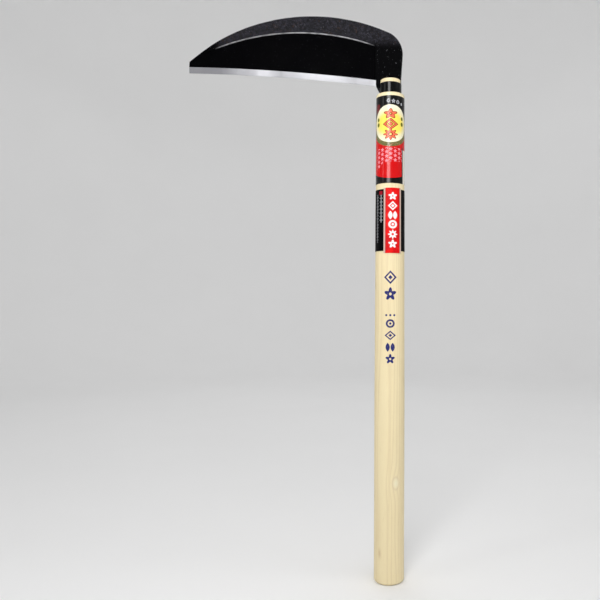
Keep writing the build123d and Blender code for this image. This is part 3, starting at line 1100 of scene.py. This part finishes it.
@dataclass
class Blade:
    """The forging, from its blunt tip to the end of its tang, and the steel laid along its edge."""

    edge_length: float = 195.0
    edge_tilt: float = 3.85  # degrees
    edge_hollow: float = 2.4
    heel_reach: float = 15.0
    heel_rise: float = 10.3
    tip_height: float = 11.8
    tip_lean: float = 0.9
    spine_radius: float = 197.0
    spine_end_rise: float = 64.7
    rib_width: float = 15.6
    rib_width_at_neck: float = 19.6
    neck_right: float = 12.9
    neck_right_rise: float = 43.0
    neck_foot: float = 11.1
    corner_bulge: float = 3.3
    chin_reach: float = 11.9
    chin_rise: float = 4.2
    tang_half: float = 7.0
    tang_round: float = 4.0
    back: float = 1.8  # Y of the flat side
    web_thickness: float = 2.2
    rib_thickness: float = 3.6
    bevel: float = 5.8
    land: float = 0.2
    backing: float = 20.0
    backing_thickness: float = 0.8
    rounding: float = 0.8  # of the rib's corners
    step: float = 0.9  # width over which the rib sinks to the web
    fade: Tuple[float, float] = (-203.0, -174.0)  # where the rib comes up out of the tip
    relief_depth: float = 0.09
    rim_wear: float = 0.32  # how far the outer edge is rubbed bright
    neck_soot: Tuple[float, float] = (563.0, 551.0)  # heights over which the neck goes sooty
    heel_soot: Tuple[float, float] = (-34.0, -16.0)  # and the X over which it does
    tip_soot: Tuple[float, float] = (-172.0, -184.0)
    crest_half: float = 0.28  # half width of the bright line along the step, partly rubbed metal and partly a painted highlight
    crest_start: Tuple[float, float] = (-183.0, -173.0)  # X over which that line comes up
    # X over which the painted highlight on the bright line rises, and then X over which it falls
    glint_rise: Tuple[float, float] = (-108.0, -88.0)
    glint_fall: Tuple[float, float] = (-44.0, -24.0)
    crest_end: Tuple[float, float] = (-27.0, -15.0)
    under_spine: float = 0.35  # least gap from the edge steel to the spine
    lip: float = 0.12  # small chamfer along the top of the edge steel
    ground_end: Tuple[float, float] = (3.4, 1.6)  # heights over which the ground back ends
    edge_wobble: float = 0.05

    def __post_init__(self) -> None:
        """Works out the corners and arcs of the side view from the frame and the sizes."""
        self.shoulder = place_of("ferrule")[0].z
        self.ferrule_top = place_of("ferrule")[1].z
        self.tang_end = place_of("blade_body")[0].z
        tilt = math.radians(self.edge_tilt)
        self.heel = (-self.heel_reach, self.shoulder + self.heel_rise)
        self.tip = (
            self.heel[0] - self.edge_length * math.cos(tilt),
            self.heel[1] + self.edge_length * math.sin(tilt),
        )
        self.tip_top = (self.tip[0] + self.tip_lean, self.tip[1] + self.tip_height)
        self.spine_end = (0.0, self.shoulder + self.spine_end_rise)
        self.chin = (-self.chin_reach, self.shoulder + self.chin_rise)
        self.spine = Arc.through(self.tip_top, self.spine_end, self.spine_radius)
        edge_radius = (self.edge_length**2 / 4 + self.edge_hollow**2) / (2 * self.edge_hollow)
        self.edge = Arc.through(self.tip, self.heel, edge_radius)
        middle = (self.tip_top[0] - self.heel_reach) / 2
        middle_low = float(self.spine.height(middle)) - self.rib_width
        heel_low = float(self.spine.height(-self.heel_reach)) - self.rib_width_at_neck
        self.rib = self.circle(self.tip_top, (middle, middle_low), (-self.heel_reach, heel_low))

    @staticmethod
    def circle(first: Sequence[float], second: Sequence[float], third: Sequence[float]) -> Arc:
        """Circle through three points, from the two linear equations of equal distance.

        Args:
            first: a point.
            second: another.
            third: the last.

        Returns:
            The circle.
        """
        points = np.array([first, second, third])
        squares = (points**2).sum(axis=1)
        x, z = np.linalg.solve(2 * (points[1:] - points[0]), squares[1:] - squares[0])
        return Arc(float(x), float(z), float(np.hypot(x - points[0, 0], z - points[0, 1])))

    def corner(self, count: int) -> np.ndarray:
        """Bowed corner from the spine's end to the widest point of the neck.

        It is an arc through those two and a point that stands off the middle of their line.

        Args:
            count: number of points.

        Returns:
            (count, 2) points.
        """
        start = np.array(self.spine_end)
        end = np.array([self.neck_right, self.shoulder + self.neck_right_rise])
        line = end - start
        outward = np.array([-line[1], line[0]]) / np.linalg.norm(line)
        arc = self.circle(start, (start + end) / 2 + outward * self.corner_bulge, end)
        turns = [math.atan2(point[1] - arc.z, point[0] - arc.x) for point in (start, end)]
        turn = np.linspace(turns[0], turns[1], count)
        return np.stack([arc.x + arc.radius * np.cos(turn), arc.z + arc.radius * np.sin(turn)], axis=-1)

    def stations(self, fine: float = 0.62) -> Tuple[np.ndarray, np.ndarray, np.ndarray]:
        """Lines across the forging, from the tip, round the neck and down the tang.

        Along the blade a line joins the top of the bevel to the spine. Round the neck the lines fan
        out: their outer ends go along the spine, the corner and the back of the neck, while their
        inner ends go down the heel and the chin. Down the tang they lie across it.

        Args:
            fine: spacing along the blade.

        Returns:
            Inner ends, outer ends, and 1 for each line of the blade and 0 for the others.
        """
        reach = -self.heel_reach - self.tip[0]
        share = np.concatenate([
            np.linspace(0.0, 1.0 - 1.6 / reach, int(reach / fine)),
            np.linspace(1.0 - 1.4 / reach, 1.0 - 0.02 / reach, 14),
        ])
        side = self.tip_lean * self.bevel / self.tip_height
        low_x = self.tip[0] + side + (-self.heel_reach - self.tip[0] - side) * share
        high_x = self.tip_top[0] + (-self.heel_reach - self.tip_top[0]) * share
        inner = [np.stack([low_x, self.edge.height(low_x, self.bevel)], axis=-1)]
        outer = [np.stack([high_x, self.spine.height(high_x)], axis=-1)]
        spine_x = np.linspace(-self.heel_reach, 0.0, 26)
        top = np.stack([spine_x, self.spine.height(spine_x)], axis=-1)
        widest = (self.neck_right, self.shoulder + self.neck_right_rise)
        back = np.linspace(widest, (self.neck_foot, self.ferrule_top), 34)
        neck = np.concatenate([top, self.corner(30)[1:], back[1:]])
        heel_top = (self.heel[0], float(self.edge.height(np.array(self.heel[0]), self.bevel)))
        outer.append(neck)
        inner.append(along_line((heel_top, self.heel, self.chin), np.linspace(0.0, 1.0, len(neck)) ** 1.25))
        low, half, bend = self.tang_end, self.tang_half, self.tang_round
        turn = np.linspace(0.0, math.pi / 2, 9)[:-1]
        curve = np.stack([half - bend + bend * np.cos(turn), low + bend - bend * np.sin(turn)], axis=-1)
        shaft = np.linspace((half, self.ferrule_top), (half, low + bend), 40)
        outer.append(np.concatenate([shaft, curve[1:]]))
        left = np.linspace((-half, self.chin[1]), (-half, low + bend), 40)
        inner.append(np.concatenate([left, curve[1:] * (-1, 1)]))
        is_blade = np.repeat([1.0, 0.0, 0.0], [len(part) for part in outer])
        return np.concatenate(inner), np.concatenate(outer), is_blade

    def step_at(self, x: np.ndarray, z: np.ndarray) -> Tuple[np.ndarray, np.ndarray]:
        """Where a point lies across the forging.

        Args:
            x: X of points.
            z: their Z.

        Returns:
            Signed distance above the rib's lower line, and how far the neck has taken over, 0 to 1.
        """
        slope = (x - self.rib.x) / self.rib.radius
        above = (z - self.rib.height(np.clip(x, self.tip_top[0], -self.heel_reach))) * np.sqrt(1 - slope**2)
        return above, smooth(x, -self.heel_reach - 0.7, -self.heel_reach - 0.05)

    def forging(self) -> Tuple[np.ndarray, Dict[str, np.ndarray]]:
        """Loops across the forging.

        Each loop goes up the ground side, over the outer edge through two quarter circles, down the
        flat side and round the inner edge. The ground side stands at web thickness plus the rib's
        extra times a smooth step of the distance to the rib's line, plus hammer relief.

        Returns:
            The loops, and the marks on their points.
        """
        inner, outer, is_blade = (part[:, None] for part in self.stations())
        width = np.linalg.norm(outer - inner, axis=-1)
        turn = np.linspace(0.0, math.pi / 2, 6)[None, :]
        x, z = inner[..., 0], inner[..., 1]
        share = np.full_like(width, 0.6)
        for _ in range(6):
            px = x + (outer[..., 0] - x) * share
            line = self.rib.height(np.clip(px, self.tip_top[0], -self.heel_reach))
            share = np.clip((line - z) / (outer[..., 1] - z), 0.3, 1.0)
        last_blade = int(is_blade.sum()) - 1
        share = np.where(is_blade > 0, share, share[last_blade])
        edge_share = 1.0 - self.rounding / width
        share = np.minimum(share, edge_share - 1.5 / width)
        near = np.minimum(1.1 / width, share * 0.3)
        lower = np.linspace(0.0, 1.0, 20)[None, :] * (share - near)
        across = share + near * np.linspace(-1.0, 1.0, 15)[None, 1:]
        upper = share + near + (edge_share - share - near) * np.linspace(0.0, 1.0, 30)[None, 1:]
        front = np.concatenate([lower, across, upper], axis=1)
        rebate = np.where(is_blade > 0, self.backing - self.bevel, -1.0)
        border = np.clip(rebate / width, 0.0, edge_share)
        down = np.linspace(1.0, 0.0, 14)[None, :]
        flat = np.concatenate([
            border + 0.02 / width + (edge_share - border - 0.02 / width) * down,
            border * np.linspace(1.0, 0.0, 8)[None, :],
        ], axis=1)
        flat_share = np.clip(flat, 0.0, edge_share)
        sunk = (is_blade > 0) & (flat_share <= border + 1e-9)
        flat_y = np.where(sunk, self.back - self.backing_thickness, self.back)

        def spot(portion: np.ndarray, depth: np.ndarray) -> np.ndarray:
            """Point at a share of the way across, less a distance in from the outer edge, at this Y."""
            way = portion - depth / width
            return np.stack([x + (outer[..., 0] - x) * way, z + (outer[..., 1] - z) * way], axis=-1)

        plane = spot(front, 0.0 * front)
        above, neck = self.step_at(plane[..., 0], plane[..., 1])
        grown = smooth(plane[..., 0], *self.fade)
        extra = np.maximum(smooth(above, -self.step / 2, self.step / 2) * grown, neck)
        thick = self.web_thickness + (self.rib_thickness - self.web_thickness) * extra
        hammer = relief(plane[..., 0], plane[..., 1], 5.5, 11) * 0.6
        hammer = hammer + relief(plane[..., 0], plane[..., 1], 1.9, 12) * 0.4
        front_y = self.back - thick + self.relief_depth * extra * hammer + 0.02 * (1 - extra) * hammer
        edge_y, top_y = front_y[:, -1:], flat_y[:, :1]
        uneven = 0.10 * (1.0 + relief(outer[..., 0] + outer[..., 1], 0.0 * width, 6.0, 13)) / 2
        bend = self.rounding
        full = 1.0 + 0.0 * turn
        rise, sink = bend * (1 - np.cos(turn)), bend * (1 - np.sin(turn))
        shape = [
            (plane, front_y),
            (spot(full, sink + uneven), edge_y + rise),
            (spot(full, rise + uneven), top_y - sink),
            (spot(flat_share, 0.0 * flat), flat_y + 0.01 * relief(flat * width, flat * 0 + width, 4.0, 14)),
        ]
        loops = np.concatenate([
            np.concatenate([part, np.broadcast_to(y, part.shape[:2])[..., None]], axis=-1)
            for part, y in shape
        ], axis=1)
        loops = loops[..., (0, 2, 1)]
        soot = smooth(loops[..., 2], *self.neck_soot) * smooth(loops[..., 0], *self.heel_soot)
        soot = np.maximum(soot, smooth(loops[..., 0], *self.tip_soot))
        grain = np.concatenate([extra, np.ones((len(width), loops.shape[1] - extra.shape[1]))], axis=1)
        # Bright line along the step: partly rubbed metal, partly a painted highlight that is painted
        # strongest in the middle of the blade.
        crest = np.exp(-(((above - 0.05) / self.crest_half) ** 2)) * (1 - neck)
        crest = crest * smooth(plane[..., 0], *self.crest_start)
        glint_strength = smooth(plane[..., 0], *self.glint_rise) * (1 - smooth(plane[..., 0], *self.glint_fall))
        crest = crest * (0.74 + 0.26 * glint_strength) * (1 - smooth(plane[..., 0], *self.crest_end))
        rim = self.rim_wear * np.sin(2 * turn) * np.ones_like(width)
        rest = np.zeros((len(width), loops.shape[1] - crest.shape[1] - rim.shape[1]))
        worn = np.concatenate([crest, rim, rest], axis=1)
        return loops, {FORGED: grain, WEAR_AND_GLINT: worn, SOOT: soot}

    def steel(self) -> Tuple[np.ndarray, Dict[str, np.ndarray]]:
        """Loops across the edge steel.

        A point of a loop has a rise above the edge, which keeps to circles round the edge's own
        centre, and a Y. The flat side goes up to the backing's width or to just under the spine.

        Returns:
            The loops, and the marks on their points.
        """
        share = np.linspace(0.0, 1.0, 300)[:, None]
        edge_x = self.tip[0] + (-self.heel_reach - self.tip[0]) * share
        room = self.spine.height(edge_x + self.tip_lean) - self.edge.height(edge_x) - self.under_spine
        top = np.minimum(self.backing, room)
        inner_y = self.back - self.backing_thickness
        web_y = self.back - self.web_thickness
        edge_y = self.back - self.land
        bevel = np.linspace(self.bevel, 0.0, 14)[None, :]
        flat = np.linspace(0.0, 1.0, 26)[None, :] ** 1.5
        bevel_y = web_y + (edge_y - web_y) * (1 - bevel / self.bevel)
        one = np.ones_like(share)
        rise = np.concatenate([bevel * one, flat * (top - self.lip), top, top, self.bevel * one], axis=1)
        y = np.concatenate([
            bevel_y * one,
            self.back + 0.0 * flat * one,
            (self.back - self.lip) * one,
            inner_y * one,
            inner_y * one,
        ], axis=1)
        x = edge_x + self.tip_lean * rise / self.tip_height * (1 - share)
        wobble = self.edge_wobble * relief(edge_x, 0.0 * edge_x, 9.0, 21) * (rise < 0.5)
        z = self.edge.height(x, 0.0) + rise + np.abs(wobble)
        ground_back = smooth(flat * self.backing, *self.ground_end)
        ground = np.concatenate([np.ones_like(bevel), ground_back, np.zeros((1, 3))], axis=1)
        return np.stack([x, y, z], axis=-1), {GROUND: ground * one}

    def build(self) -> None:
        """Makes the forging and the edge steel."""
        body = Skin("forged_blade")
        body.tube(*self.forging())
        body.build(ForgedIron().material(), "forged_iron", "blade_body")
        edge = Skin("edge_bevel")
        edge.tube(*self.steel())
        edge.build(GroundSteel().material(), "ground_steel", "edge_steel")


# ------------------------------------------------------------------------------ handle
@dataclass
class Handle:
    """The turned handle, with its tenon split in two by the slot for the neck."""

    grip_straight: float = 180.0
    shoulder_radius: float = 14.45
    butt_round: float = 2.8
    shoulder_chamfer: float = 0.8
    tenon_radius: float = 10.5
    tenon_chamfer: float = 0.9
    slot_half: float = 1.95
    slot_floor: float = 4.05  # above the shoulder, on the blade's side
    sides: int = 144
    butt_rings: Tuple[float, float] = (4.0, 9.0)  # radii of the rings on the flat of the butt
    shoulder_ring: float = 12.0  # radius of the ring on the flat of the shoulder
    shoulder_break: Tuple[float, float] = (0.35, 0.25)  # middle of its chamfer: inwards and down
    rim_in: Tuple[float, float] = (0.12, 0.4)  # rounded rim of the tenon: how far in
    rim_down: Tuple[float, float] = (0.45, 0.15)  # and how far below the top
    tool_depth: float = 0.025  # of the marks that the turning left
    tool_pitch: float = 2.3

    def __post_init__(self) -> None:
        """Takes the ends from the frame."""
        low, high = place_of("handle")
        self.top = high.z
        self.grip_radius = min(high.x, high.y, -low.x, -low.y)
        self.shoulder = place_of("ferrule")[0].z

    def radius_at(self, height: np.ndarray) -> np.ndarray:
        """Radius of the wood: constant, then an even taper up to the shoulder."""
        share = np.clip((height - self.grip_straight) / (self.shoulder - self.grip_straight), 0.0, 1.0)
        return self.grip_radius + (self.shoulder_radius - self.grip_radius) * share

    def body(self) -> np.ndarray:
        """Rings from the butt to the floor of the slot, on a profile turned about Z.

        Returns:
            (rings, sides, 3) points.
        """
        bend, floor = self.butt_round, self.shoulder + self.slot_floor
        turn = np.linspace(0.0, math.pi / 2, 9)
        neck = self.shoulder - self.shoulder_chamfer
        long = np.linspace(bend, neck, 72)[1:]
        inwards, down = self.shoulder_break
        radius = np.concatenate([
            self.butt_rings, self.grip_radius - bend + bend * np.sin(turn), self.radius_at(long),
            [self.shoulder_radius - inwards, self.shoulder_radius - self.shoulder_chamfer],
            [self.shoulder_ring, self.tenon_radius, self.tenon_radius],
        ])
        height = np.concatenate([
            [0.0, 0.0], bend - bend * np.cos(turn), long,
            [self.shoulder - down, self.shoulder, self.shoulder, self.shoulder, floor],
        ])
        around = np.linspace(0.0, 2 * math.pi, self.sides, endpoint=False)
        ridge = self.tool_depth * relief(height, 0.0 * height, self.tool_pitch, 31)
        tooled = np.minimum(radius + ridge - self.tool_depth, radius)
        return lathe(tooled[:, None], height[:, None], around[None, :])

    def half_tenon(self, side: float) -> np.ndarray:
        """Loops up one half of the tenon: an arc of the tenon's circle closed by the slot's wall.

        Args:
            side: -1 or 1, the sign of its Y.

        Returns:
            (loops, points, 3) points.
        """
        floor, edge = self.shoulder + self.slot_floor, self.tenon_chamfer
        radius = self.tenon_radius - np.array([0.0, 0.0, 0.0, 0.0, *self.rim_in, edge])
        below_top = self.top - np.array([4.0, edge, *self.rim_down, 0.0])
        height = np.concatenate([[floor, floor + 4], below_top])
        start = np.arcsin(self.slot_half / radius)[:, None]
        turn = start + (math.pi - 2 * start) * np.linspace(0.0, 1.0, 40)[None, :]
        arc = np.stack([radius[:, None] * np.cos(turn), side * radius[:, None] * np.sin(turn)], axis=-1)
        wall_x = arc[:, -1:, 0] + (arc[:, :1, 0] - arc[:, -1:, 0]) * np.linspace(0.0, 1.0, 16)[None, 1:-1]
        wall = np.stack([wall_x, np.full_like(wall_x, side * self.slot_half)], axis=-1)
        flat = np.concatenate([arc, wall], axis=1)
        return np.concatenate([flat, np.broadcast_to(height[:, None, None], (*flat.shape[:2], 1))], axis=-1)

    def build(self) -> None:
        """Makes the handle."""
        wood = Skin("turned_handle")
        wood.tube(self.body())
        for side in (-1.0, 1.0):
            wood.tube(self.half_tenon(side))
        wood.build(PaleWood().material(), "pale_wood", "handle")
        frame["nodes"]["tang_nail"].data.materials.clear()
        frame["nodes"]["tang_nail"].data.materials.append(DrawnWire().material())
        LOG.info("tang_nail: CAD node kept, new finish")


@dataclass
class Ferrule:
    """Enamelled steel ring round the tenon, notched on the blade's side for the chin."""

    bore: float = 10.55
    radius: float = 11.55
    rim: float = 0.42
    notch_half: float = 2.0
    notch_floor: float = 4.0  # above its lower rim
    punch_turn: float = 24.0  # degrees round from the front
    punch_rise: float = 2.2
    punch_radius: float = 1.0
    punch_depth: float = 0.22

    def build(self) -> None:
        """Makes the ring.

        A closed profile with rounded rims goes round the axis, and its upper rim sinks over the
        notch. The small punch mark is a dent whose depth falls off as a bell curve.
        """
        low, high = place_of("ferrule")
        notch = math.asin(self.notch_half / self.radius)
        wide = np.linspace(notch, 2 * math.pi - notch, 200)
        small = np.linspace(-notch, notch, 8)[1:-1]
        turn = np.concatenate([[-notch + 1e-4], small, [notch - 1e-4], wide])[:, None] - math.pi / 2
        cut = (np.arange(len(turn)) < len(small) + 2)[:, None]
        top = np.where(cut, low.z + self.notch_floor, high.z)
        quarter = np.linspace(0.0, math.pi / 2, 6)[None, :]
        climb = np.linspace(0.0, 1.0, 16)[None, :]
        outer, bend = self.radius, self.rim
        radius = np.concatenate([
            outer - bend + bend * np.sin(quarter),
            outer + 0 * climb,
            outer - bend + bend * np.cos(quarter),
            self.bore + 0 * climb,
        ], axis=1)
        height = np.concatenate([
            low.z + bend - bend * np.cos(quarter) + 0 * top,
            low.z + bend + (top - low.z - 2 * bend) * climb,
            top - bend + bend * np.sin(quarter),
            top - (top - low.z) * climb,
        ], axis=1)
        punch = (turn - math.radians(self.punch_turn)) * outer / self.punch_radius
        rise = (height - low.z - self.punch_rise) / self.punch_radius
        dent = self.punch_depth * np.exp(-(punch**2) - rise**2) * (radius > self.bore + 0.5)
        rims = np.concatenate([np.ones((1, 6)), 0 * climb, np.ones((1, 6)), 0 * climb], axis=1)
        ring = Skin("ferrule_ring")
        points = lathe(radius - dent, height, turn)
        points = np.concatenate([points, points[:1]])
        marks = np.broadcast_to(rims, points.shape[:2])
        ring.grid(points, ring=True, marks={WEAR_AND_GLINT: marks})
        ring.build(BlackGloss().material(), "black_ferrule", "ferrule")


# ------------------------------------------------------------------------------ labels
@dataclass
class Wrap:
    """A thin skin stuck round the tapering grip, open along an upright seam."""

    name: str
    node: str
    slot: str
    start: float  # degrees round from the front, growing towards +X
    end: float
    lift: float  # gap under it
    thickness: float = 0.2
    wave: float = 0.05
    seed: int = 41
    radius: float = 15.0  # at which the wave is laid out
    rim: float = 1.2  # height over which its ends grow to the full thickness

    def build(self, handle: Handle, material: bpy.types.Material) -> None:
        """Makes the skin: two turned grids that follow the wood, and the rims between them.

        The outer grid is waved inwards by smooth random heights, as paper that was stuck by hand.

        Args:
            handle: the wood under it.
            material: its finish.
        """
        low, high = place_of(self.node)
        count = max(24, int(abs(self.end - self.start) / 2.2))
        turn = np.radians(np.linspace(self.start, self.end, count))[None, :]
        height = np.linspace(low.z, high.z, 72)[:, None]
        foot = handle.radius_at(height) + self.lift
        arc = turn * self.radius + 0 * height
        rise = height + 0 * turn
        wave = relief(arc, rise, 7.0, self.seed) * 0.6 + relief(arc, rise, 2.4, self.seed + 1) * 0.4
        foot_share = np.minimum(1.0, (height - low.z) / self.rim)
        fringe = foot_share * np.minimum(1.0, (high.z - height) / self.rim)
        out = foot + self.thickness * (0.75 + 0.25 * fringe) - self.wave * (1 + wave) / 2
        skin = Skin(self.name)
        skin.shell(lathe(foot + 0 * turn, height, turn), lathe(out, height, turn))
        skin.build(material, self.slot, self.node)


@dataclass
class Labels:
    """The film, the black paper below it, and the red strip over the paper."""

    seam: float = 7.0  # half of the gap at the back, in degrees

    def build(self, handle: Handle) -> None:
        """Makes all three.

        Args:
            handle: the wood that they are stuck on.
        """
        start, end = self.seam - 180, 180 - self.seam
        wraps = (
            (Wrap("film_label", "upper_label", "gloss_film", start, end, 0.05), PrintedFilm()),
            (Wrap("paper_wrap", "lower_label", "black_paper", start, end, 0.05, seed=51), BlackPaper()),
            (Wrap("red_strip", "label_strip", "red_paper", -25.0, 46.0, 0.3, seed=61), RedPaper()),
        )
        for wrap, finish in wraps:
            wrap.build(handle, finish.material())


# ------------------------------------------------------------------------------ studio
@dataclass(frozen=True)
class Lamp:
    """A soft rectangular light, in metres, aimed at a point."""

    name: str
    at: Tuple[float, float, float]
    aim: Tuple[float, float, float]
    size: Tuple[float, float]
    power: float

    def build(self) -> None:
        """Makes the light. The camera doesn't see it."""
        data = bpy.data.lights.new(self.name, "AREA")
        data.shape = "RECTANGLE"
        data.size, data.size_y = self.size
        data.energy = self.power
        lamp = bpy.data.objects.new(self.name, data)
        lamp.location = self.at
        lamp.rotation_euler = (Vector(self.aim) - Vector(self.at)).to_track_quat("-Z", "Y").to_euler()
        lamp.visible_camera = False
        bpy.context.scene.collection.objects.link(lamp)
        LOG.info("%s: light of %.2f W", self.name, self.power)


@dataclass
class Studio:
    """Pale floor with walls that curve up all round, soft lights, and the camera."""

    floor_radius: float = 1700.0
    cove: float = 700.0
    wall_top: float = 2600.0
    camera_at: Tuple[float, float, float] = (0.0, -0.638, 0.2904)
    sides: int = 96
    sink: float = 0.15  # how far the floor lies below the butt
    sky: float = 0.10
    lens: float = 36.83
    shift: float = -0.1496
    roll: float = -0.18  # degrees

    def build_floor(self) -> None:
        """Turns a profile of floor, quarter-round cove and wall about Z."""
        turn = np.linspace(0.0, math.pi / 2, 14)
        flat = np.linspace(1.0, self.floor_radius, 12)
        curve, wall = self.floor_radius + self.cove * np.sin(turn[1:]), [self.floor_radius + self.cove]
        radius = np.concatenate([flat, curve, wall])
        climb = self.cove * (1 - np.cos(turn[1:]))
        height = np.concatenate([0 * flat, climb, [self.wall_top]]) - self.sink
        around = np.linspace(0.0, 2 * math.pi, self.sides, endpoint=False)
        points = lathe(radius[:, None], height[:, None], around[None, :]) * MM
        middle = np.array([[0.0, 0.0, -self.sink * MM]])
        index = np.arange(points.shape[0] * points.shape[1]).reshape(points.shape[:2])
        right = np.roll(index, -1, axis=1)
        quads = np.stack([index[:-1], right[:-1], right[1:], index[1:]], axis=-1).reshape(-1, 4)
        fan = np.stack([np.full(self.sides, index.size), right[0], index[0]], axis=-1)
        faces = quads[:, ::-1].tolist() + fan[:, ::-1].tolist()
        mesh = bpy.data.meshes.new("studio_floor")
        mesh.from_pydata(np.concatenate([points.reshape(-1, 3), middle]), [], faces)
        mesh.shade_smooth()
        mesh.materials.append(StudioPaint().material())
        floor = bpy.data.objects.new("studio_floor", mesh)
        bpy.context.scene.collection.objects.link(floor)

    def build_lamps(self) -> None:
        """Makes the lights round the tool and the dim sky."""
        lamps = (
            Lamp("key_high", (0.40, -1.35, 2.15), (-0.02, 0.0, 0.28), (1.6, 1.0), 11.0),
            Lamp("left_high", (-1.50, -0.50, 1.70), (-0.02, 0.0, 0.30), (0.9, 0.9), 1.4),
            Lamp("right_high", (1.50, -0.60, 1.60), (0.0, 0.0, 0.30), (0.9, 0.9), 5.5),
            Lamp("strip_front", (-0.135, -0.62, 0.63), (0.0, 0.0, 0.52), (0.26, 0.32), 3.2),
            Lamp("strip_left", (-0.95, -0.55, 0.85), (0.0, 0.0, 0.50), (0.10, 0.50), 0.7),
            Lamp("wall_wash", (0.0, 0.60, 2.30), (0.0, 2.30, 0.60), (2.4, 0.6), 10.0),
            Lamp("top", (0.0, 0.25, 2.3), (-0.05, 0.0, 0.30), (1.6, 1.6), 3.0),
            Lamp("back_high", (-0.4, 1.5, 1.9), (-0.05, 0.0, 0.35), (1.4, 1.0), 6.0),
        )
        for lamp in lamps:
            lamp.build()
        world = bpy.data.worlds.new("studio_sky")
        world.use_nodes = True
        sky = world.node_tree.nodes["Background"]
        sky.inputs["Color"].default_value = (1.0, 1.0, 1.0, 1.0)
        sky.inputs["Strength"].default_value = self.sky
        bpy.context.scene.world = world

    def build_camera(self) -> None:
        """Makes the camera, level, looking along +Y, with its frame shifted to the blade's side."""
        data = bpy.data.cameras.new("camera")
        data.lens = self.lens
        data.shift_x = self.shift
        data.dof.use_dof = False
        camera = bpy.data.objects.new("camera", data)
        camera.location = self.camera_at
        camera.rotation_euler = (math.pi / 2, math.radians(self.roll), 0.0)
        bpy.context.scene.collection.objects.link(camera)
        bpy.context.scene.camera = camera
        bpy.context.scene.view_settings.view_transform = "Standard"

    def build(self) -> None:
        """Makes all of it."""
        self.build_floor()
        self.build_lamps()
        self.build_camera()


# ------------------------------------------------------------------------------ run
def main() -> None:
    """Builds the tool and the studio."""
    logging.basicConfig(level=logging.INFO, format="%(name)s: %(message)s")
    Studio().build()
    Blade().build()
    handle = Handle()
    handle.build()
    Ferrule().build()
    Labels().build(handle)


if __name__ == "__main__":
    main()
